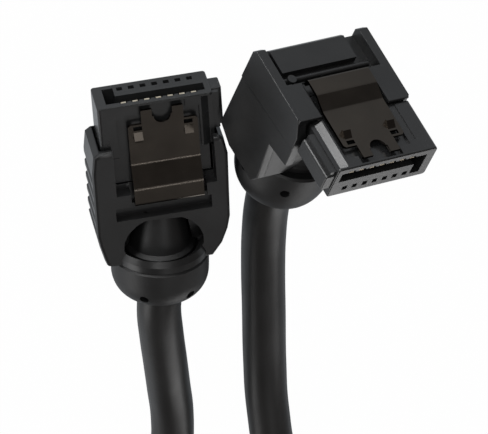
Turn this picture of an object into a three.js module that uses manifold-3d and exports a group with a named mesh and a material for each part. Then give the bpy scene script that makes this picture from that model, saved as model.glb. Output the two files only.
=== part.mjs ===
import * as THREE from "three";
import { mergeVertices } from "three/addons/utils/BufferGeometryUtils.js";
import Module from "manifold-3d";

// A serial data cable with a straight and a right-angle plug, lying on the floor (z = 0), in mm.
// Each plug has its own frame: the origin is the middle of the mating face, -y is the mating direction,
// +z is the latch side and +x the side of the slot's short leg.

const wasm = await Module();
wasm.setup();

// Plug interface, the same at both ends
const CONTACTS = 7;
const PITCH = 1.27;
const ROW_X = -0.55; // middle of the contact row
const FIT = 0.25; // gap between pieces that are moulded round or pushed into each other
const SKIN = 1; // how far a cut runs past the face it opens, and a solid into the one it joins
const NOSE = { w: 12.5, t: 4.5, l: 6.6, corner: 0.35, edge: 0.12 };
const REAR = { l: 10, x: 5.6, low: -1.9, high: 1.75 }; // the housing's rear half, inside the shell
const SLOT = { left: -5.6, right: 5.15, low: 0.1, high: 1.45, depth: 5.6 };
const LEG = { left: 3.95, low: -1.5 };
const HOLE = { size: 0.62, z: -1.2, depth: 3.2 };
const EAR = { out: 1.15, low: -0.9, high: 1.2, from: 0.2, root: 0.3, corner: 0.2, edge: 0.1 };
const EAR_STEP = { out: 0.7, low: 0.9, high: 1.75, from: 0.35 };
const CHAMBER = { w: 0.84, low: 0.7, high: 1.66 };
const SIDE_RAMP = { from: -5.75, to: -4.95, depth: 0.35, start: 0.3 };

// Contacts: strips bent in the y-z plane, from the tip to the tail behind the housing
const CONTACT_W = 0.56;
const CONTACT_T = 0.2;
const TAIL = { z: 1, past: 0.4 };
const CONTACT_LINE = [
  [0.12, 1.38], [0.9, 1.14], [1.8, 0.98], [2.8, 1.18], [4.4, 1.4], [6.2, 1.4], [7.4, TAIL.z],
  [REAR.l + TAIL.past, TAIL.z],
];

// Latch spring
const LATCH = { x: -0.62, w: 7.6, t: 0.3, z: 2.45, shoulder: 2.4, corner: 0.25 };
const NECK = { w: 4.6, prong: 1.2, tip: 0.72, root: 1.6, notchR: 0.95 };
const BARB = { x: 2.75, w: 0.95, from: 3.15, to: 4.35, rise: 0.5, crest: 0.2, window: 0.5 };
const BEND_R = 1.3;
const ROLL = { r: 0.5, drop: 0.8 };
const SEAT = { floor: 1.87, from: 1.3, side: 0.3 };
const LEDGE = { w: 0.85, depth: 0.12, from: 1.7 };
const TIP_POCKET = { w: 5.2, from: 0.3, to: 1.6 };

// Strain reliefs, turned about their own axis; distances run along the cord from the mating plane
const BOOT_R = 5.4;
const CORD_D = 5;
const BOOT_MOUTH_R = 3.1;
const SOCKET = { r: CORD_D / 2 + 0.3, depth: 1.5, floorGap: 0.3 };
const BORE_R = 2.05;
const VENTS = { count: 5, r: 0.52, depth: 1.5 };
const PAIR = { r: 0.9, apart: 2, gap: 0.3 };
const INNER = { x: REAR.x - 0.4, l: 2.75, top: 1 };
const INNER_FROM = REAR.l + TAIL.past + FIT;
const INNER_TO = INNER_FROM + INNER.l;

// Where each end lies, from the fit to the photograph
const STRAIGHT = { at: [9.91, -22.47, 2.44], turn: [7.1, 0, 0] };
const ANGLED = { at: [-11.25, -21.79, 20.44], turn: [-77.06, 19.39, 166.97] };

function solid(geometry) {
  const g = geometry.clone();
  g.deleteAttribute("normal");
  g.deleteAttribute("uv");
  const merged = mergeVertices(g, 1e-4);
  const tri = merged.index.array;
  const mesh = new wasm.Mesh({
    numProp: 3,
    vertProperties: new Float32Array(merged.attributes.position.array),
    triVerts: new Uint32Array(tri),
  });
  const made = new wasm.Manifold(mesh);
  if (made.volume() > 0) return made;
  const turned = new Uint32Array(tri.length);
  for (let i = 0; i < tri.length; i += 3) {
    turned[i] = tri[i];
    turned[i + 1] = tri[i + 2];
    turned[i + 2] = tri[i + 1];
  }
  mesh.triVerts = turned;
  return new wasm.Manifold(mesh);
}

function geometryOf(manifold) {
  const { vertProperties, triVerts } = manifold.getMesh();
  const g = new THREE.BufferGeometry();
  g.setAttribute("position", new THREE.BufferAttribute(new Float32Array(vertProperties), 3));
  g.setIndex(new THREE.BufferAttribute(new Uint32Array(triVerts), 1));
  const flat = g.toNonIndexed();
  flat.computeVertexNormals();
  return flat;
}

function box(x0, x1, y0, y1, z0, z1) {
  const g = new THREE.BoxGeometry(x1 - x0, y1 - y0, z1 - z0);
  g.translate((x0 + x1) / 2, (y0 + y1) / 2, (z0 + z1) / 2);
  return solid(g);
}

function shapeOf(points) {
  return new THREE.Shape(points.map(([a, b]) => new THREE.Vector2(a, b)));
}

// A rectangle with rounded corners as a list of points.
function roundRect(a0, a1, b0, b1, r, steps = 4) {
  const points = [];
  const corners = [[a1 - r, b0 + r, -90], [a1 - r, b1 - r, 0], [a0 + r, b1 - r, 90], [a0 + r, b0 + r, 180]];
  for (const [a, b, from] of corners)
    for (let i = 0; i <= steps; i++) {
      const t = THREE.MathUtils.degToRad(from + (90 * i) / steps);
      points.push([a + r * Math.cos(t), b + r * Math.sin(t)]);
    }
  return points;
}

// Prisms along each axis. The bevel rounds the end edges and stays inside the given length.
function prism(points, depth, bevel) {
  return new THREE.ExtrudeGeometry(shapeOf(points), {
    depth: depth - 2 * bevel,
    bevelEnabled: bevel > 0,
    bevelThickness: bevel,
    bevelSize: bevel,
    bevelOffset: -bevel,
    bevelSegments: 2,
  }).translate(0, 0, bevel);
}
const prismZ = (xy, z0, z1, bevel = 0) => solid(prism(xy, z1 - z0, bevel).translate(0, 0, z0));
const prismY = (xz, y0, y1, bevel = 0) =>
  solid(prism(xz, y1 - y0, bevel).rotateX(Math.PI / 2).translate(0, y1, 0));
const yzAxes = new THREE.Matrix4().makeBasis(
  new THREE.Vector3(0, 1, 0), new THREE.Vector3(0, 0, 1), new THREE.Vector3(1, 0, 0));
const prismX = (yz, x0, x1, bevel = 0) =>
  solid(prism(yz, x1 - x0, bevel).applyMatrix4(yzAxes).translate(x0, 0, 0));

// The outline of a strip of sheet metal from its middle line.
function strip(line, thickness) {
  const left = [], right = [];
  for (let i = 0; i < line.length; i++) {
    const before = new THREE.Vector2(...line[Math.max(i - 1, 0)]);
    const here = new THREE.Vector2(...line[i]);
    const after = new THREE.Vector2(...line[Math.min(i + 1, line.length - 1)]);
    const into = here.clone().sub(before);
    const out = after.clone().sub(here);
    if (i === 0) into.copy(out);
    if (i === line.length - 1) out.copy(into);
    const n = into.normalize().add(out.normalize()).normalize();
    const half = thickness / 2 / Math.max(n.dot(out), 0.5);
    left.push([here.x - n.y * half, here.y + n.x * half]);
    right.push([here.x + n.y * half, here.y - n.x * half]);
  }
  return right.concat(left.reverse());
}

// A line whose inner corners are rounded by short curves of about the given radii.
function rounded(points, radii, steps = 5) {
  const at = points.map((p) => new THREE.Vector2(...p));
  const out = [points[0]];
  radii.forEach((radius, i) => {
    const corner = at[i + 1];
    const back = at[i].clone().sub(corner), on = at[i + 2].clone().sub(corner);
    const cut = Math.min(radius / Math.tan(back.angleTo(on) / 2), back.length() * 0.49, on.length() * 0.49);
    const start = corner.clone().addScaledVector(back.normalize(), cut);
    const finish = corner.clone().addScaledVector(on.normalize(), cut);
    const curve = new THREE.QuadraticBezierCurve(start, corner, finish);
    out.push(...curve.getPoints(steps).map((p) => [p.x, p.y]));
  });
  return out.concat([points.at(-1)]);
}

const plastic = (color, roughness) => new THREE.MeshStandardMaterial({ color, roughness, metalness: 0 });
const metal = (color, roughness) => new THREE.MeshStandardMaterial({ color, roughness, metalness: 1 });

function node(group, name, manifold, material) {
  const mesh = new THREE.Mesh(geometryOf(manifold), material);
  mesh.name = name;
  group.add(mesh);
  return mesh;
}

const contactX = Array.from({ length: CONTACTS }, (_, i) => ROW_X + ((CONTACTS - 1) / 2 - i) * PITCH);

// Plug housing: nose, ear, slot, chambers and latch seat
function plugHousing(earEnd) {
  const half = NOSE.w / 2;
  const top = NOSE.t / 2;
  const seatLeft = LATCH.x - LATCH.w / 2 - SEAT.side;
  const seatRight = LATCH.x + LATCH.w / 2 + SEAT.side;
  const ramp = [[-half - SKIN, top - SIDE_RAMP.depth], [SIDE_RAMP.from, top - SIDE_RAMP.depth],
    [SIDE_RAMP.to, top + 0.001], [SIDE_RAMP.to, top + SKIN], [-half - SKIN, top + SKIN]];
  const ear = roundRect(-half - EAR.out, -half + EAR.root, EAR.low, EAR.high, EAR.corner, 2);
  let body = prismY(roundRect(-half, half, -top, top, NOSE.corner), 0, NOSE.l, NOSE.edge)
    .subtract(prismY(ramp, SIDE_RAMP.start, NOSE.l + SKIN))
    .add(box(-REAR.x, REAR.x, NOSE.l - SKIN, REAR.l, REAR.low, REAR.high))
    .add(prismY(ear, EAR.from, earEnd, EAR.edge))
    .add(box(-half - EAR_STEP.out, -half + EAR.root, EAR_STEP.from, earEnd, EAR_STEP.low, EAR_STEP.high))
    .subtract(box(SLOT.left, SLOT.right, -SKIN, SLOT.depth, SLOT.low, SLOT.high))
    .subtract(box(LEG.left, SLOT.right, -SKIN, SLOT.depth, LEG.low, (SLOT.low + SLOT.high) / 2))
    .subtract(box(seatLeft, seatRight, SEAT.from, NOSE.l + SKIN, SEAT.floor, top + SKIN))
    .subtract(box(seatRight - FIT, seatRight + LEDGE.w, LEDGE.from, NOSE.l + SKIN, top - LEDGE.depth,
      top + SKIN))
    .subtract(box(LATCH.x - TIP_POCKET.w / 2, LATCH.x + TIP_POCKET.w / 2, TIP_POCKET.from, TIP_POCKET.to,
      SEAT.floor, top + SKIN));
  const w = CHAMBER.w / 2, h = HOLE.size / 2;
  for (const x of contactX)
    body = body
      .subtract(box(x - w, x + w, -SKIN, REAR.l + SKIN, CHAMBER.low, CHAMBER.high))
      .subtract(box(x - h, x + h, -SKIN, HOLE.depth, HOLE.z - h, HOLE.z + h));
  return body;
}

function contact(x) {
  return prismX(strip(CONTACT_LINE, CONTACT_T), x - CONTACT_W / 2, x + CONTACT_W / 2);
}

// Latch spring: a flat front with two prongs and two barbs, a bent ramp and a rolled rear edge
function latchSpring({ rampFrom, rampTo, end, lift }) {
  const { x, w, t, z, shoulder, corner } = LATCH;
  const half = w / 2, neck = NECK.w / 2, inner = neck - NECK.prong;
  const side = [[half, rampFrom], [half, shoulder + corner], [half - corner, shoulder], [neck, shoulder],
    [neck, NECK.tip], [inner, NECK.tip], [inner, NECK.root]];
  const notch = Array.from({ length: 9 }, (_, i) => {
    const turned = (Math.PI * i) / 8;
    return [x + NECK.notchR * Math.cos(turned), NECK.root + NECK.notchR * Math.sin(turned)];
  });
  const outline = side.map(([a, y]) => [x + a, y]).concat(notch, side.map(([a, y]) => [x - a, y]).reverse());
  const high = z + lift;
  const bends = [[shoulder + 2, z], [rampFrom, z], [rampTo, high], [end, high], [end, high - ROLL.drop]];
  const line = rounded(bends, [BEND_R, BEND_R, ROLL.r]);
  let body = prismZ(outline.reverse(), z - t / 2, z + t / 2)
    .subtract(box(x - w, x + w, rampFrom - BEND_R, rampFrom + SKIN, 0, high))
    .add(prismX(strip(line, t), x - half, x + half));
  const top = z + t / 2;
  for (const way of [-1, 1]) {
    const left = x + way * BARB.x - BARB.w / 2, right = left + BARB.w;
    body = body
      .add(prismX([[BARB.from, top - t / 2], [BARB.to, top - t / 2], [BARB.to, top + BARB.rise],
        [BARB.to - BARB.crest, top + BARB.rise]], left, right))
      .subtract(box(left, right, BARB.from - BARB.window, BARB.from, 0, high));
  }
  return body;
}

const turned = (points, sides = 32) =>
  solid(new THREE.LatheGeometry(points.map(([r, y]) => new THREE.Vector2(r, y)), sides));

// Strain relief about +y: tapered sleeve, neck, collar, domed end, mouth and bore
function bootSolid({ from, sleeveR, sleeveTo, neckR, face, straightTo, mouth, edge, vents }) {
  const outer = [[sleeveR[0], from], [sleeveR[1], sleeveTo], [neckR, sleeveTo + edge], [neckR, face],
    [BOOT_R - edge, face], [BOOT_R, face + edge]];
  for (let i = 0; i <= 8; i++) {
    const t = (Math.PI / 2) * (i / 8);
    outer.push([BOOT_MOUTH_R + (BOOT_R - BOOT_MOUTH_R) * Math.cos(t),
      straightTo + (mouth - straightTo) * Math.sin(t)]);
  }
  const floor = mouth - SOCKET.depth;
  const inner = [[SOCKET.r, mouth], [SOCKET.r, floor], [BORE_R, floor], [BORE_R, from]];
  let body = turned(outer.concat(inner, [outer[0]]), 40);
  for (let i = 0; i < VENTS.count; i++) {
    const around = THREE.MathUtils.degToRad(vents.first + (360 * i) / VENTS.count);
    const lean = THREE.MathUtils.degToRad(vents.lean);
    const axis = new THREE.Vector3(Math.sin(around) * Math.cos(lean), Math.sin(lean),
      Math.cos(around) * Math.cos(lean));
    const pin = new THREE.CylinderGeometry(VENTS.r, VENTS.r, VENTS.depth * 2, 12);
    pin.applyQuaternion(new THREE.Quaternion().setFromUnitVectors(new THREE.Vector3(0, 1, 0), axis));
    pin.translate(axis.x * vents.r, vents.along, axis.z * vents.r);
    body = body.subtract(solid(pin));
  }
  return body;
}

// Two foil-wrapped pairs inside a strain relief, about +y
function wirePairs(end, from, mouth, at) {
  for (const [name, way] of [["a", -1], ["b", 1]]) {
    const pair = turned([[0, from], [PAIR.r, from], [PAIR.r, mouth - SOCKET.depth - PAIR.gap],
      [0, mouth - SOCKET.depth - PAIR.gap]], 16).translate([(way * PAIR.apart) / 2, 0, 0]);
    node(end.group, end.name + "_wire_pair_" + name, pair.transform(at.elements), pairMaterial());
  }
}

const housingMaterial = () => plastic(0x26272a, 0.42);
const shellMaterial = () => plastic(0x1f2021, 0.5);
const bootMaterial = () => plastic(0x242322, 0.6);
const contactMaterial = () => metal(0xb9a684, 0.3);
const latchMaterial = () => metal(0x2b2624, 0.25);
const pottingMaterial = () => plastic(0x3a3a3c, 0.7);
const pairMaterial = () => metal(0xa0a4a8, 0.35);
const cordMaterial = () => plastic(0x232325, 0.55);

// Straight end. Its strain relief leans a little, pulled over by the cord.
const S_SHELL = { low: -2.6, high: 3.3, edge: 0.45 };
const S_SIDE = {
  left: [[-6.5, 5.1], [-7, 5.5], [-7.35, 7.6], [-7.1, 15.8], [-6.75, 17.4], [-6.1, 19], [-4.9, 20.6]],
  right: [[6.6, 5.1], [7.2, 5.5], [7.5, 7.6], [7.6, 15.8], [7.4, 17.2], [7, 19], [6.6, 20.3]],
};
const S_WINDOW = { left: -5.9, right: 5.1, to: 10.8 };
const S_POCKET = { side: 0.35, to: 12.6, floor: 1.6 };
const S_CROSS_SLOT = { left: -5.2, right: 5.35, from: S_POCKET.to - 0.2, to: 14.05, floor: 2.2 };
const S_PASSAGE = { x: 2.2, z: 1.15, corner: 0.5 };
const S_LEAN = { x: 0.2, y: 14.5, z: 0.55, turn: -3.5 };
const S_BOOT = {
  from: 14.4, sleeveR: [2.4, 3.35], sleeveTo: 19.1, neckR: 3.85, face: 20.25, straightTo: 22.6, mouth: 25.45,
  edge: 0.3, vents: { first: 36, lean: 38, along: 23.9, r: 4.6 },
};
const S_RING = { from: 19.35, to: S_BOOT.face - 0.15, r: S_BOOT.neckR + 0.35 };
const S_END = 10; // reach of the cut that ends the shell in the plane of its ring
const S_HUB = [[0, 15.2], [3.1, 15.2], [4.9, 18.4], [BOOT_R, S_RING.from], [BOOT_R, S_RING.to],
  [0, S_RING.to]];
const S_DISH = [[0, 14.6], [3.4, 14.6], [4.1, 15.2], [4.8, 16.2], [5.15, 17.2], [5.2, 18.2], [5, 18.8],
  [S_RING.r, S_RING.from], [0, S_RING.from]];
const S_DISH_FLOOR = 0.9;
const S_GRIPS = { count: 5, from: 8.7, pitch: 1.65, r: 0.75, depth: 0.32, under: 0.6 };
const S_LATCH = { rampFrom: 7.5, rampTo: 10.2, end: 12.3, lift: 0.85 };
const S_AT = new THREE.Matrix4().makeTranslation(S_LEAN.x, S_LEAN.y, S_LEAN.z)
  .multiply(new THREE.Matrix4().makeRotationZ(THREE.MathUtils.degToRad(S_LEAN.turn)))
  .multiply(new THREE.Matrix4().makeTranslation(0, -S_LEAN.y, 0));

// Room for the housing's rear half and the block behind it, and for the back of the nose
function housingRoom(body, from) {
  const x = REAR.x + FIT;
  return body
    .subtract(box(-x, x, from - SKIN, REAR.l + FIT, REAR.low - FIT, REAR.high + FIT))
    .subtract(box(-x, x, REAR.l, INNER_TO + FIT, REAR.low - FIT, INNER.top + FIT))
    .subtract(box(-NOSE.w / 2 - FIT, NOSE.w / 2 + FIT, from - SKIN, NOSE.l + FIT, -NOSE.t / 2 - FIT,
      NOSE.t / 2 + FIT));
}

function straightShell() {
  const { low, high, edge } = S_SHELL;
  const over = high + SKIN;
  const pocket = LATCH.w / 2 + S_POCKET.side;
  let body = prismZ(S_SIDE.right.concat(S_SIDE.left.toReversed()), low - edge, high, edge)
    .subtract(box(-S_END, S_END, 0, S_BOOT.mouth, low - 2 * edge, low))
    .add(turned(S_HUB).transform(S_AT.elements));
  const front = S_SIDE.right[0][1];
  const sleeve = [[0, S_BOOT.from - FIT], [S_BOOT.sleeveR[0] + FIT, S_BOOT.from - FIT],
    [S_BOOT.sleeveR[1] + FIT, S_BOOT.sleeveTo], [S_RING.r, S_RING.from], [S_RING.r, S_RING.to + SKIN],
    [0, S_RING.to + SKIN]];
  const { x, z, corner } = S_PASSAGE;
  const passage = prismY(roundRect(-x, x, -z, z, corner), INNER_TO - SKIN, S_BOOT.from)
    .transform(S_AT.elements);
  const dish = turned(S_DISH, 48).transform(S_AT.elements)
    .intersect(box(-S_END, S_END, 0, S_BOOT.mouth, S_DISH_FLOOR, S_END));
  body = housingRoom(body, front)
    .subtract(box(S_WINDOW.left, S_WINDOW.right, front - SKIN, S_WINDOW.to, REAR.high, over))
    .subtract(box(LATCH.x - pocket, LATCH.x + pocket, REAR.l, S_POCKET.to, S_POCKET.floor, over))
    .subtract(box(S_CROSS_SLOT.left, S_CROSS_SLOT.right, S_CROSS_SLOT.from, S_CROSS_SLOT.to,
      S_CROSS_SLOT.floor, over))
    .subtract(passage)
    .subtract(turned(sleeve).transform(S_AT.elements))
    .subtract(turned([[0, S_RING.to], [S_END, S_RING.to], [S_END, S_BOOT.mouth], [0, S_BOOT.mouth]])
      .transform(S_AT.elements))
    .subtract(dish);
  for (let i = 0; i < S_GRIPS.count; i++)
    for (const side of [S_SIDE.left, S_SIDE.right]) {
      const x = side[3][0] + Math.sign(side[3][0]) * (S_GRIPS.r - S_GRIPS.depth);
      const height = high - S_GRIPS.under - low + SKIN;
      const groove = new THREE.CylinderGeometry(S_GRIPS.r, S_GRIPS.r, height, 12).rotateX(Math.PI / 2);
      groove.translate(x, S_GRIPS.from + i * S_GRIPS.pitch, low - SKIN + height / 2);
      body = body.subtract(solid(groove));
    }
  return body;
}

function plugEnd(name, shell, shellFront, latch, boot, bootAt, blockLow, pairsFrom) {
  const end = { name, group: new THREE.Group(), bootAt, mouth: boot.mouth };
  const add = (part, manifold, material) => node(end.group, name + "_" + part, manifold, material);
  add("plug_housing", plugHousing(shellFront - FIT), housingMaterial());
  contactX.forEach((x, i) => add("contact_" + (i + 1), contact(x), contactMaterial()));
  add("latch_spring", latchSpring(latch), latchMaterial());
  add("shell", shell, shellMaterial());
  add("strain_relief", bootSolid(boot).transform(bootAt.elements), bootMaterial());
  add("inner_block", box(-INNER.x, INNER.x, INNER_FROM, INNER_TO, blockLow, INNER.top), pottingMaterial());
  wirePairs(end, pairsFrom, boot.mouth, bootAt);
  return end;
}

// Angled end: the shell turns the cord down, away from the latch
const A_SHELL = {
  left: -7.82, right: 6.3, front: 6.6, rear: 16.6, deck: 2.35, top: 2.75, wall: 1.15, corner: 0.4,
  edge: 0.12,
};
const A_ARM = [[A_SHELL.front, -2.7], [9.2, -4.1], [9.3, -10.7], [A_SHELL.rear, -9.9]];
const A_CHEEK = [[6.9, A_SHELL.top], [5.85, 0.8], [5.75, -3.7], [9.1, -4.2], [8.5, -9.3], [9.2, -10.5],
  [14.2, -10.7], [16.8, -9.7], [16.8, A_SHELL.top - 0.6], [16.3, A_SHELL.top]];
const A_BAND = [[6.9, A_SHELL.top], [5.85, 0.8], [5.8, -1.05], [14.1, -1.75], [16.8, -1.9],
  [16.8, A_SHELL.top - 0.6], [16.3, A_SHELL.top]];
const A_BAND_STEP = 0.14;
const A_BLOCK = { left: -4.85, right: 3.4, to: 11.4 };
const A_GROOVE = { left: -6.1, right: 3.3, floor: 1.3 };
const A_RECESS = { left: -6.1, right: 3.9, from: 11.3, to: 13.2, floor: 1.65 };
const A_BAR = { y: 12.45, z: 1.75, r: 0.35 };
const A_POST = { x: -5.5, y: 12.2, r: 0.5, low: 1.3, high: 2.5 };
const A_POCKET = { side: 0.35, to: 11.9, floor: 1.5 };
const A_BOOT_AT = { x: 0.1, y: 13.05 };
const A_BOOT = {
  from: 8.3, sleeveR: [3.6, 4], sleeveTo: 10.2, neckR: 4.3, face: 11.1, straightTo: 14.1, mouth: 18.1,
  edge: 0.3, vents: { first: 0, lean: 20, along: 15.6, r: 5.1 },
};
const A_SEAT = [[0, 8], [4, 8], [4.35, 10.1], [4.6, 10.4], [4.6, 20], [0, 20]];
const A_NECK = { r: 2.3, from: 2, to: 8.5 };
const A_LATCH = { rampFrom: 7.2, rampTo: 9.2, end: 11.2, lift: 0.65 };
const A_AT = new THREE.Matrix4().makeTranslation(A_BOOT_AT.x, A_BOOT_AT.y, 0)
  .multiply(new THREE.Matrix4().makeRotationX(-Math.PI / 2));

function angledShell() {
  const { left, right, front, rear, deck, top, wall, corner, edge } = A_SHELL;
  const over = top + SKIN;
  const core = [...A_ARM, [rear, deck - corner], [rear - corner, deck], [front, deck]];
  let body = prismX(core, left + wall / 2, right - wall / 2)
    .add(prismX(A_CHEEK, left + A_BAND_STEP, left + wall, edge))
    .add(prismX(A_CHEEK, right - wall, right - A_BAND_STEP, edge))
    .add(prismX(A_BAND, left, left + wall, edge))
    .add(prismX(A_BAND, right - wall, right, edge))
    .add(prismY(roundRect(left + edge, A_BLOCK.left, 0, top, corner / 2), front, A_BLOCK.to, edge))
    .add(prismY(roundRect(A_BLOCK.right, right - edge, 0, top, corner / 2), front, A_BLOCK.to, edge))
    .subtract(box(left + wall, A_GROOVE.left, A_BLOCK.to, rear + SKIN, A_GROOVE.floor, over))
    .subtract(box(A_GROOVE.right, right - wall, A_BLOCK.to, rear + SKIN, A_GROOVE.floor, over))
    .subtract(box(A_RECESS.left, A_RECESS.right, A_RECESS.from, A_RECESS.to, A_RECESS.floor, over));
  const bar = new THREE.CylinderGeometry(A_BAR.r, A_BAR.r, A_RECESS.right - A_RECESS.left + wall, 16)
    .rotateZ(Math.PI / 2).translate((A_RECESS.left + A_RECESS.right) / 2, A_BAR.y, A_BAR.z);
  const post = new THREE.CylinderGeometry(A_POST.r, A_POST.r, A_POST.high - A_POST.low, 16)
    .rotateX(Math.PI / 2).translate(A_POST.x, A_POST.y, (A_POST.low + A_POST.high) / 2);
  const pocket = LATCH.w / 2 + A_POCKET.side;
  return housingRoom(body, front)
    .subtract(box(LATCH.x - pocket, LATCH.x + pocket, front - SKIN, A_POCKET.to, A_POCKET.floor, over))
    .add(solid(bar))
    .add(solid(post))
    .subtract(turned([[0, A_NECK.from], [A_NECK.r, A_NECK.from], [A_NECK.r, A_NECK.to], [0, A_NECK.to]])
      .transform(A_AT.elements))
    .subtract(turned(A_SEAT, 40).transform(A_AT.elements));
}

function place(end, { at, turn }) {
  end.position.set(...at);
  end.rotation.set(...turn.map(THREE.MathUtils.degToRad), "ZYX");
  end.updateMatrixWorld(true);
}

// The cord: a stretch at each end and one wound coil, kept as plain solids
const COIL = { x: 4.5, y: 72, r: 26.5, halfWidth: 2.8, low: 0.9, high: 11.1, corner: 2 };
const COIL_JOIN = COIL.r * Math.SQRT1_2;
const CORD_GAP = 0.3;
const TIE = { wide: 2.5, thick: 0.6, gap: 0.3, head: [4.2, 1.9, 4.4], headLow: 5, tail: [0.6, 4] };
const STRAIGHT_ROUTE = [
  [11.1, 5.5, 6.4], [10.95, 10, 6], [10.6, 15, 5.2], [10.25, 20, 4.3], [9.95, 25, 3.7], [10.2, 30.5, 3.45],
  [11.5, 37, 3.4], [14.55, 43.7, 3.4], [19.2, 49.2, 3.4], [COIL.x + COIL_JOIN, COIL.y - COIL_JOIN, 3.4],
];
const ANGLED_ROUTE = [
  [-2, -4.6, 3.6], [-1.65, 0.2, 3], [-1.46, 5, 2.8], [-1.34, 12, 2.8], [-1.2, 20, 2.9], [-1.2, 26.5, 3.6],
  [-2.06, 35.2, 5.2], [-5.15, 42.7, 7], [-10.08, 49.1, 8.2], [COIL.x - COIL_JOIN, COIL.y - COIL_JOIN, 8.6],
];

function coilRing(grow) {
  const { r, halfWidth, low, high, corner } = COIL;
  const section = roundRect(r - halfWidth - grow, r + halfWidth + grow, low - grow, high + grow, corner, 3);
  section.push(section[0]);
  const g = new THREE.LatheGeometry(section.map(([a, b]) => new THREE.Vector2(a, b)), 48);
  return solid(g.rotateX(Math.PI / 2).translate(COIL.x, COIL.y, 0));
}

// A stretch of cord from the floor of a strain relief's socket, along the route, up to the coil
function cordTube(end, route) {
  const floor = end.mouth - SOCKET.depth + SOCKET.floorGap;
  const points = [floor, end.mouth + SOCKET.floorGap].map((y) =>
    new THREE.Vector3(0, y, 0).applyMatrix4(end.bootAt).applyMatrix4(end.group.matrixWorld));
  points.push(...route.map((p) => new THREE.Vector3(...p)));
  const curve = new THREE.CatmullRomCurve3(points, false, "centripetal");
  const sides = 12;
  const circle = Array.from({ length: sides }, (_, i) => {
    const t = (2 * Math.PI * i) / sides;
    return [(CORD_D / 2) * Math.cos(t), (CORD_D / 2) * Math.sin(t)];
  });
  const steps = Math.round(curve.getLength() / (2 * CORD_D)) * 3;
  const g = new THREE.ExtrudeGeometry(shapeOf(circle), { steps, extrudePath: curve, bevelEnabled: false });
  return solid(g).subtract(coilRing(CORD_GAP));
}

// A thin band round the coil's far side, with a locking head and a short tail
function coilTie() {
  const { wide, thick, gap, head, headLow, tail } = TIE;
  const { x, y, r, halfWidth, low, high } = COIL;
  const near = y + r - halfWidth - gap, far = y + r + halfWidth + gap;
  const outside = far + thick;
  const headTop = headLow + head[2];
  const tailY = outside + (head[1] - tail[0]) / 2;
  return box(x - wide / 2, x + wide / 2, near - thick, outside, low - gap - thick, high + gap + thick)
    .subtract(box(x - wide, x + wide, near, far, low - gap, high + gap))
    .add(box(x - head[0] / 2, x + head[0] / 2, outside - thick / 2, outside + head[1], headLow, headTop))
    .add(box(x - wide / 2, x + wide / 2, tailY, tailY + tail[0], headTop - thick, headTop + tail[1]));
}

const root = new THREE.Group();
const straight = plugEnd("straight", straightShell(), S_SIDE.right[0][1], S_LATCH, S_BOOT, S_AT, -1.8,
  INNER_TO + FIT);
place(straight.group, STRAIGHT);
root.add(straight.group);
const angled = plugEnd("angled", angledShell(), A_SHELL.front - 0.9, A_LATCH, A_BOOT, A_AT, -1.3, 2.6);
place(angled.group, ANGLED);
root.add(angled.group);
node(root, "cord_straight_side", cordTube(straight, STRAIGHT_ROUTE), cordMaterial());
node(root, "cord_angled_side", cordTube(angled, ANGLED_ROUTE), cordMaterial());
node(root, "cord_coil", coilRing(0), cordMaterial());
node(root, "coil_tie", coilTie(), plastic(0x1b1b1c, 0.5));

// The origin is under the middle of the two plugs, on the floor.
const plugs = new THREE.Box3().setFromObject(straight.group, true).union(
  new THREE.Box3().setFromObject(angled.group, true));
const middle = plugs.getCenter(new THREE.Vector3());
root.position.set(-middle.x, -middle.y, 0);

export default root;
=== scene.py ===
import math

import bmesh
import bpy
from mathutils import Euler, Matrix, Vector


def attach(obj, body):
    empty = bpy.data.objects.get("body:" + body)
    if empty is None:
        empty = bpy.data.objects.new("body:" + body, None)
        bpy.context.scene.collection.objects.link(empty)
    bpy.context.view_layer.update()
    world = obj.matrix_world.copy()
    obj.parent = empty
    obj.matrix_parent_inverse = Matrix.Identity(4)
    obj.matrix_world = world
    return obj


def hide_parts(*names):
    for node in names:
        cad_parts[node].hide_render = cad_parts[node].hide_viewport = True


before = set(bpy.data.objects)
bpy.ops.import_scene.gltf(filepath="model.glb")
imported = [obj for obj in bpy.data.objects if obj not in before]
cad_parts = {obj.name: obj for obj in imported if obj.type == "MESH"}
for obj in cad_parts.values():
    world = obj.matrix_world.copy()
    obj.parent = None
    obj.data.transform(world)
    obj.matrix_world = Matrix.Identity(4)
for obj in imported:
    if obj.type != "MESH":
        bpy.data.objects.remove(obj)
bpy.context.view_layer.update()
MM = 0.001


# Camera
# It looks down on the two plugs from the side of their mating faces, 45 cm away, and is
# rolled over, so the cords run down the picture as they do in the photograph.
AIM = Vector((0.011, 13.803, 0.17)) * MM
# The picture's right and up, and the way back from the plugs to the camera.
SIGHT = [(-0.9787, 0.0313, 0.2027), (-0.1590, -0.7401, -0.6534), (0.1296, -0.6718, 0.7293)]
DISTANCE = 450 * MM

camera_data = bpy.data.cameras.new("camera")
camera_data.lens = 298.35
camera_data.sensor_width = 36
camera_data.clip_start, camera_data.clip_end = 0.05, 5
camera = bpy.data.objects.new("camera", camera_data)
bpy.context.scene.collection.objects.link(camera)
turn = Matrix(SIGHT).transposed().to_4x4()
camera.matrix_world = Matrix.Translation(AIM + Vector(SIGHT[2]) * DISTANCE) @ turn
bpy.context.scene.camera = camera
bpy.context.scene.view_settings.view_transform = "Standard"


# Cord
# A round, fairly limp 5 mm data cord with a satin dark grey jacket. It leaves each plug through
# a moulded strain relief, lies on the floor, and its unseen length is wound into a tied coil.
CORD_D = 5 * MM
SHIFT = Vector((0.011, 13.803, 0.0)) * MM  # from where the route was laid out to the CAD frame
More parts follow.
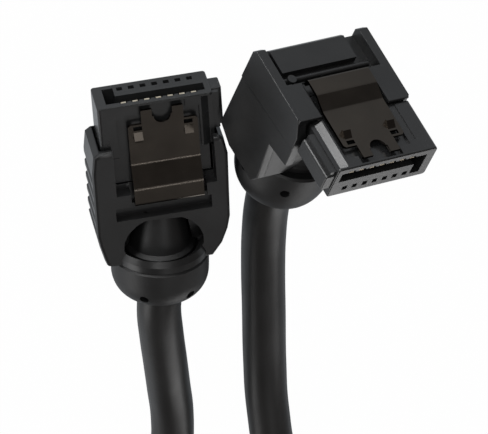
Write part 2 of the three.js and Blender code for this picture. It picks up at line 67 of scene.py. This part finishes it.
# How each plug lies: where its own frame's origin is, and how that frame is turned. In it, -y is
# the mating direction, +z the latch side and +x the side of the slot's short leg.
LIES = {
    "straight": Matrix.Translation(Vector((9.91, -22.47, 2.44)) * MM + SHIFT)
    @ Euler((math.radians(7.1), 0, 0)).to_matrix().to_4x4(),
    "angled": Matrix.Translation(Vector((-11.25, -21.79, 20.44)) * MM + SHIFT)
    @ (
        Matrix.Rotation(math.radians(166.97), 4, "Z")
        @ Matrix.Rotation(math.radians(19.39), 4, "Y")
        @ Matrix.Rotation(math.radians(-77.06), 4, "X")
    ),
}
COIL_MID, COIL_R = (4.5, 72.0), 26.5
LOW_TURN, HIGH_TURN = 3.4, 8.6  # heights of the centreline in the two layers of the coil
START, TRAVEL, STEP = -45, 630, 30  # degrees: first point, how far it is wound, between points
CLIMB_FROM, CLIMB_TO = 290, 350

# Points of the centreline in mm, each way between a strain relief and the coil.
STRAIGHT_ROUTE = [
    (11.1, 5.5, 6.4), (10.95, 10, 6), (10.6, 15, 5.2), (10.25, 20, 4.3), (9.95, 25, 3.7),
    (10.2, 30.5, 3.45), (11.5, 37, 3.4), (14.55, 43.7, 3.4), (19.2, 49.2, 3.4),
]
ANGLED_ROUTE = [
    (-10.08, 49.1, 8.2), (-5.15, 42.7, 7), (-2.06, 35.2, 5.2), (-1.2, 26.5, 3.6),
    (-1.2, 20, 2.9), (-1.34, 12, 2.8), (-1.46, 5, 2.8), (-1.65, 0.2, 3), (-2, -4.6, 3.6),
]


def coil_route():
    points = []
    for travelled in range(0, TRAVEL + 1, STEP):
        angle = math.radians(START + travelled)
        t = min(max((travelled - CLIMB_FROM) / (CLIMB_TO - CLIMB_FROM), 0), 1)
        z = LOW_TURN + (HIGH_TURN - LOW_TURN) * t * t * (3 - 2 * t)
        points.append(
            (COIL_MID[0] + COIL_R * math.cos(angle), COIL_MID[1] + COIL_R * math.sin(angle), z)
        )
    return points


LEAD = 1.5 * MM  # how far the cord runs straight inside a strain relief


def boot_floor(end, x, y, z, heading):
    """The point where the cord starts in a strain relief, and one a little further along it."""
    at = LIES[end] @ (Vector((x, y, z)) * MM)
    away = (LIES[end].to_3x3() @ Vector(heading)).normalized()
    return [at, at + away * LEAD]


laid = boot_floor("straight", 0.795, 24.232, 0.55, (0.061, 0.998, 0))
cord_exit = laid[0].copy()
laid += [Vector(p) * MM + SHIFT for p in STRAIGHT_ROUTE + coil_route() + ANGLED_ROUTE]
laid += reversed(boot_floor("angled", 0.1, 13.05, -16.9, (0, 0, -1)))

cord_curve = bpy.data.curves.new("cord", "CURVE")
cord_curve.dimensions = "3D"
cord_curve.bevel_depth = 1  # times each point's radius, which also sets the curve's own bounds
cord_curve.bevel_resolution = 6
cord_curve.resolution_u = 6
cord_curve.use_fill_caps = True
spline = cord_curve.splines.new("BEZIER")
spline.bezier_points.add(len(laid) - 1)
for knot, point in zip(spline.bezier_points, laid, strict=True):
    knot.co, knot.radius = point, CORD_D / 2
    knot.handle_left_type = knot.handle_right_type = "AUTO"
cord = bpy.data.objects.new("cord", cord_curve)
bpy.context.scene.collection.objects.link(cord)
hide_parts("cord_straight_side", "cord_coil", "cord_angled_side")
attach(cord, "cable")


class Term:
    """One output of a material's nodes. Arithmetic on it adds Math nodes and gives a new Term."""

    def __init__(self, tree, socket):
        self.tree, self.socket = tree, socket

    def add(self, kind, settings=None, inputs=None, output=0):
        made = self.tree.nodes.new(kind)
        for name, value in (settings or {}).items():
            setattr(made, name, value)
        for name, value in (inputs or {}).items():
            if isinstance(value, Term):
                self.tree.links.new(value.socket, made.inputs[name])
            else:
                made.inputs[name].default_value = value
        return Term(self.tree, made.outputs[output])

    def math(self, operation, other):
        return self.add("ShaderNodeMath", {"operation": operation}, {0: self, 1: other})

    def __add__(self, other):
        return self.math("ADD", other)

    def __mul__(self, other):
        return self.math("MULTIPLY", other)

    __radd__, __rmul__ = __add__, __mul__

    def noise(self, scale, detail):
        return self.add(
            "ShaderNodeTexNoise", {}, {"Vector": self, "Scale": scale, "Detail": detail}
        )

    def stretched(self, x, y, z):
        by = {0: self, 1: (x, y, z)}
        return self.add("ShaderNodeVectorMath", {"operation": "MULTIPLY"}, by)

    def between(self, low, high):
        """The part of this value from low to high, as 0 to 1."""
        return self.add(
            "ShaderNodeMapRange", {}, {"Value": self, "From Min": low, "From Max": high}
        )

    def blend(self, dark, light):
        """A colour from dark to light as this value goes from 0 to 1."""
        return self.add(
            "ShaderNodeMix", {"data_type": "RGBA"}, {0: self, 6: dark, 7: light}, output=2
        )

    def bump(self, strength, distance):
        return self.add(
            "ShaderNodeBump", {}, {"Height": self, "Strength": strength, "Distance": distance}
        )


def grey(level, warmth=0.0):
    return (level * (1 + warmth), level, level * (1 - warmth), 1)


def finish_of(name, look, **constants):
    """A Principled material. look takes the object's coordinates and gives what varies on it."""
    made = bpy.data.materials.new(name)
    made.use_nodes = True
    tree = made.node_tree
    shader = tree.nodes["Principled BSDF"]
    for socket, value in constants.items():
        shader.inputs[socket.replace("_", " ")].default_value = value
    place = Term(tree, tree.nodes.new("ShaderNodeTexCoord").outputs["Object"])
    for socket, value in look(place).items():
        tree.links.new(value.socket, shader.inputs[socket])
    return made


def jacket_look(place):
    cloud = place.noise(160, 3)
    grain = place.noise(2600, 2)
    return {
        "Base Color": cloud.between(0.3, 0.7).blend(grey(0.010), grey(0.015)),
        "Roughness": cloud * 0.16 + 0.34,
        "Normal": (grain + place.noise(420, 1) * 2).bump(0.25, 0.04 * MM),
    }


cord_curve.materials.append(finish_of("jacket", jacket_look))


# Coil tie
# A flat black nylon band round the bundled coil, moulded in one piece. Like every moulded piece
# here it is the CAD solid with its flat faces joined up and each hard edge rounded.
SAME_POINT = 0.002 * MM
SAME_PLANE = math.radians(1.5)


def dressed(node, bevel, body="cable", smooth=35):
    """A copy of a CAD node with clean faces, which then stands for it.

    Edges sharper than smooth, in degrees, are rounded to bevel, in mm.
    """
    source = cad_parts[node]
    form = bmesh.new()
    form.from_mesh(source.data)
    bmesh.ops.remove_doubles(form, verts=form.verts, dist=SAME_POINT)
    bmesh.ops.dissolve_limit(
        form, angle_limit=SAME_PLANE, verts=form.verts, edges=form.edges, delimit=set()
    )
    mesh = bpy.data.meshes.new(node + "_moulded")
    form.to_mesh(mesh)
    form.free()
    made = bpy.data.objects.new(node + "_moulded", mesh)
    bpy.context.scene.collection.objects.link(made)
    mesh.shade_smooth()
    edge = made.modifiers.new("edges", "BEVEL")
    edge.width = bevel * MM
    edge.segments = 2
    edge.limit_method = "ANGLE"
    edge.angle_limit = math.radians(smooth)
    edge.harden_normals = True
    edge.use_clamp_overlap = True
    mesh.set_sharp_from_angle(angle=math.radians(smooth))
    made.modifiers.new("normals", "WEIGHTED_NORMAL").keep_sharp = True
    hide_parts(node)
    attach(made, body)
    return made


def moulded_look(dark, light, rough, grain_size, grain):
    """Moulded plastic, by its two greys, its roughness, and how fine and deep its grain is."""

    def look(place):
        cloud = place.noise(220, 3)
        return {
            "Base Color": cloud.between(0.35, 0.65).blend(grey(dark, -0.03), grey(light, -0.03)),
            "Roughness": cloud * 0.14 + rough,
            "Normal": place.noise(grain_size, 2).bump(grain, 0.02 * MM),
        }

    return look


tie = dressed("coil_tie", 0.1)
tie.data.materials.append(finish_of("tie", moulded_look(0.012, 0.016, 0.36, 3000, 0.2)))


# Floor and light
# A flat sheet of white paper, lit by soft boxes round the plugs, the largest on the picture's
# left. The paper is near white to the camera, which thins its shadows as in the photograph.
floor_mesh = bpy.data.meshes.new("floor")
HALF = 3  # metres from the middle to each side
corners = [(-HALF, -HALF, 0), (HALF, -HALF, 0), (HALF, HALF, 0), (-HALF, HALF, 0)]
floor_mesh.from_pydata(corners, [], [(0, 1, 2, 3)])
floor = bpy.data.objects.new("floor", floor_mesh)
bpy.context.scene.collection.objects.link(floor)

paper = bpy.data.materials.new("floor")
paper.use_nodes = True
tree = paper.node_tree
tree.nodes.clear()
ray = tree.nodes.new("ShaderNodeLightPath").outputs
seen = Term(tree, ray["Is Camera Ray"])
mirrored = Term(tree, ray["Is Glossy Ray"]) + Term(tree, ray["Is Transmission Ray"])
WHITE_SEEN, WHITE_MIRRORED = 0.99, 0.3  # how much of the paper is plain white to each
share = seen * WHITE_SEEN + mirrored * WHITE_MIRRORED
tint = seen.blend((0.84, 0.92, 1, 1), (1, 1, 1, 1))
glow = tint.add("ShaderNodeEmission", {}, {"Color": tint})
matt = tint.add("ShaderNodeBsdfDiffuse", {}, {"Color": (0.82, 0.82, 0.82, 1)})
mixed = share.add("ShaderNodeMixShader", {}, {0: share, 1: matt, 2: glow})
output = tree.nodes.new("ShaderNodeOutputMaterial")
tree.links.new(mixed.socket, output.inputs["Surface"])
floor_mesh.materials.append(paper)

world = bpy.data.worlds.new("studio")
bpy.context.scene.world = world
world.use_nodes = True
sky = world.node_tree.nodes["Background"].inputs
sky["Color"].default_value = (1, 0.93, 0.9, 1)
sky["Strength"].default_value = 0.13


def soft_light(name, place, size, power):
    """A soft box at a place, of a width and height, all in metres, with its power in watts."""
    data = bpy.data.lights.new(name, "AREA")
    data.shape = "RECTANGLE"
    data.size, data.size_y = size
    data.energy = power
    light = bpy.data.objects.new(name, data)
    bpy.context.scene.collection.objects.link(light)
    light.location = Vector(place)
    light.visible_camera = False
    light.rotation_euler = (AIM - light.location).to_track_quat("-Z", "Y").to_euler()


soft_light("left_light", (0.6, 0.1, 0.18), (0.8, 0.3), 1.6)
soft_light("front_light", (0.29, -0.47, 0.08), (0.3, 0.1), 1)
soft_light("back_light", (-0.3, 0.75, 0.2), (0.5, 0.25), 1)
soft_light("top_light", (-0.08, 0.27, 0.55), (0.3, 0.25), 0.04)
soft_light("strip_light", (-0.08, 0.11, 0.57), (0.3, 0.02), 0.22)
soft_light("camera_fill", (0.08, -0.4, 0.45), (0.35, 0.35), 0.8)
soft_light("low_card", (0.005, -0.1, 0.006), (0.05, 0.012), 0.02)


# Plug bodies
# Each plug is a housing of glossy near-black plastic with the slot and its contact chambers in
# it, behind it a satin shell moulded over the soldered wires.
housing_plastic = finish_of("housing", moulded_look(0.015, 0.020, 0.17, 5200, 0.12))
shell_plastic = finish_of("shell", moulded_look(0.010, 0.014, 0.24, 3600, 0.25))
for end in LIES:
    housing = dressed(end + "_plug_housing", 0.08, smooth=20)
    housing.data.materials.append(housing_plastic)
    dressed(end + "_shell", 0.14).data.materials.append(shell_plastic)


# Strain reliefs
# A soft sleeve moulded over each cord's end. It tapers into the shell, swells to a collar and
# ends in a dome with six small vents round it, so it is spun round the cord's own line.
RELIEF_TURN = {
    "straight": LIES["straight"]
    @ Matrix.Translation(Vector((0.2, 14.5, 0.55)) * MM)
    @ Matrix.Rotation(math.radians(-3.5), 4, "Z")
    @ Matrix.Translation(Vector((0, -14.5, 0)) * MM),
    "angled": LIES["angled"]
    @ Matrix.Translation(Vector((0.1, 13.05, 0)) * MM)
    @ Matrix.Rotation(math.radians(-90), 4, "X"),
}
# Radius and distance along the cord in mm, of the sleeve and then the collar's near edge.
RELIEF_LINE = {
    "straight": [
        (2.4, 14.4), (3.35, 19.1), (3.85, 19.4), (3.85, 20.25), (5.15, 20.25), (5.4, 20.5),
    ],
    "angled": [(3.6, 8.3), (4, 10.2), (4.3, 10.5), (4.3, 11.1), (5.15, 11.1), (5.4, 11.35)],
}
DOME = {"straight": (22.6, 25.45), "angled": (14.1, 18.1)}  # where it starts and ends
COLLAR_R, MOUTH_R, DOME_STEPS = 5.4, 3.1, 12
CORD_HOLE_R, HOLE_DEPTH, BORE_R = 2.8, 1.5, 2.05
SPIN_STEPS = 72
VENTS, FIRST_VENT = 6, 30  # how many, and how far round the cord the first is, in degrees
VENT_AT = {"straight": (22.9, 10), "angled": (13.6, 0)}  # distance along, lean in degrees
VENT_R, VENT_OUTER_R, VENT_SIDES = 0.5, 0.55, 20
VENT_DEPTH, VENT_MID = 2, 5  # length of the pin that cuts it, and its distance from the line


def relief(end):
    start, mouth = DOME[end]
    bore_from = RELIEF_LINE[end][0][1]
    line = list(RELIEF_LINE[end])
    for i in range(DOME_STEPS + 1):
        t = math.radians(90 * i / DOME_STEPS)
        radius = MOUTH_R + (COLLAR_R - MOUTH_R) * math.cos(t)
        line.append((radius, start + (mouth - start) * math.sin(t)))
    step = mouth - HOLE_DEPTH
    line += [(CORD_HOLE_R, mouth), (CORD_HOLE_R, step), (BORE_R, step), (BORE_R, bore_from)]
    form = bmesh.new()
    ring = [form.verts.new(Vector((r, y, 0)) * MM) for r, y in line]
    edges = [form.edges.new((ring[i], ring[(i + 1) % len(ring)])) for i in range(len(ring))]
    bmesh.ops.spin(
        form, geom=ring + edges, cent=(0, 0, 0), axis=(0, 1, 0), angle=math.tau,
        steps=SPIN_STEPS, use_merge=True,
    )
    bmesh.ops.remove_doubles(form, verts=form.verts, dist=SAME_POINT / 2)
    bmesh.ops.recalc_face_normals(form, faces=form.faces)
    mesh = bpy.data.meshes.new(end + "_relief")
    form.to_mesh(mesh)
    form.clear()
    along, lean = VENT_AT[end]
    for i in range(VENTS):
        out = Matrix.Rotation(math.radians(FIRST_VENT + 360 / VENTS * i), 4, "Y")
        tilt = Matrix.Rotation(math.radians(-lean), 4, "X")
        place = Matrix.Translation((0, along * MM, 0)) @ out @ tilt
        bmesh.ops.create_cone(
            form, cap_ends=True, segments=VENT_SIDES, radius1=VENT_R * MM,
            radius2=VENT_OUTER_R * MM, depth=VENT_DEPTH * MM,
            matrix=place @ Matrix.Translation((0, 0, VENT_MID * MM)),
        )
    pins_mesh = bpy.data.meshes.new("pins")
    form.to_mesh(pins_mesh)
    form.free()
    pins = bpy.data.objects.new("pins", pins_mesh)
    made = bpy.data.objects.new(end + "_relief", mesh)
    for thing in (pins, made):
        bpy.context.scene.collection.objects.link(thing)
    vents = made.modifiers.new("vents", "BOOLEAN")
    vents.operation, vents.solver, vents.object = "DIFFERENCE", "EXACT", pins
    solved = bpy.context.evaluated_depsgraph_get()
    cut = bpy.data.meshes.new_from_object(made.evaluated_get(solved))
    made.modifiers.clear()
    made.data = cut
    bpy.data.objects.remove(pins)
    cut.transform(RELIEF_TURN[end])
    cut.shade_smooth()
    cut.set_sharp_from_angle(angle=math.radians(32))
    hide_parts(end + "_strain_relief")
    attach(made, "cable")
    return made


boot_rubber = finish_of("boot", moulded_look(0.008, 0.012, 0.42, 2600, 0.4))
for end in LIES:
    relief(end).data.materials.append(boot_rubber)


# Metal parts
# Each latch is one stamped and bent strip of spring steel with a dark glossy plating, which keeps
# fine marks along its length from the rolling. Each contact is a narrow gold-plated strip.
def latch_look(place):
    along = place.stretched(9, 1, 1)
    return {
        "Base Color": place.noise(300, 2).blend(grey(0.045, 0.12), grey(0.065, 0.16)),
        "Roughness": place.noise(500, 2) * 0.12 + 0.16,
        "Normal": along.noise(900, 2).bump(0.12, 0.01 * MM),
    }


def contact_look(place):
    return {
        "Base Color": place.noise(900, 2).blend((0.5, 0.43, 0.32, 1), (0.72, 0.66, 0.54, 1)),
        "Roughness": place.noise(1200, 2) * 0.2 + 0.22,
    }


CONTACTS = 7  # in each plug
latch_steel = finish_of("latch", latch_look, Metallic=1.0)
contact_gold = finish_of("contacts", contact_look, Metallic=1.0)
for end in LIES:
    latch = dressed(end + "_latch_spring", 0.04, end + "_latch", smooth=16)
    latch.data.materials.append(latch_steel)
    for number in range(1, CONTACTS + 1):
        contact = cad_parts[f"{end}_contact_{number}"]
        contact.data.materials.clear()
        contact.data.materials.append(contact_gold)


# Inside
# A dull potted block behind each plug's contacts holds the soldered ends of two wire pairs, each
# wrapped in creased foil. The shell and the strain relief hide them.
def foil_look(place):
    # One pattern raises the creases' bump and also darkens the foil's colour in their hollows,
    # which is painted shade.
    crease_and_shade = place.stretched(1, 4, 1).noise(1500, 3)
    return {
        "Base Color": crease_and_shade.blend(grey(0.4), grey(0.62)),
        "Roughness": crease_and_shade * 0.25 + 0.2,
        "Normal": crease_and_shade.bump(0.5, 0.05 * MM),
    }


potting = finish_of("potting", moulded_look(0.03, 0.045, 0.6, 1500, 0.5))
foil = finish_of("foil", foil_look, Metallic=1.0)
for end in LIES:
    for part, material in (("inner_block", potting), ("wire_pair_a", foil), ("wire_pair_b", foil)):
        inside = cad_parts[f"{end}_{part}"]
        inside.data.materials.clear()
        inside.data.materials.append(material)
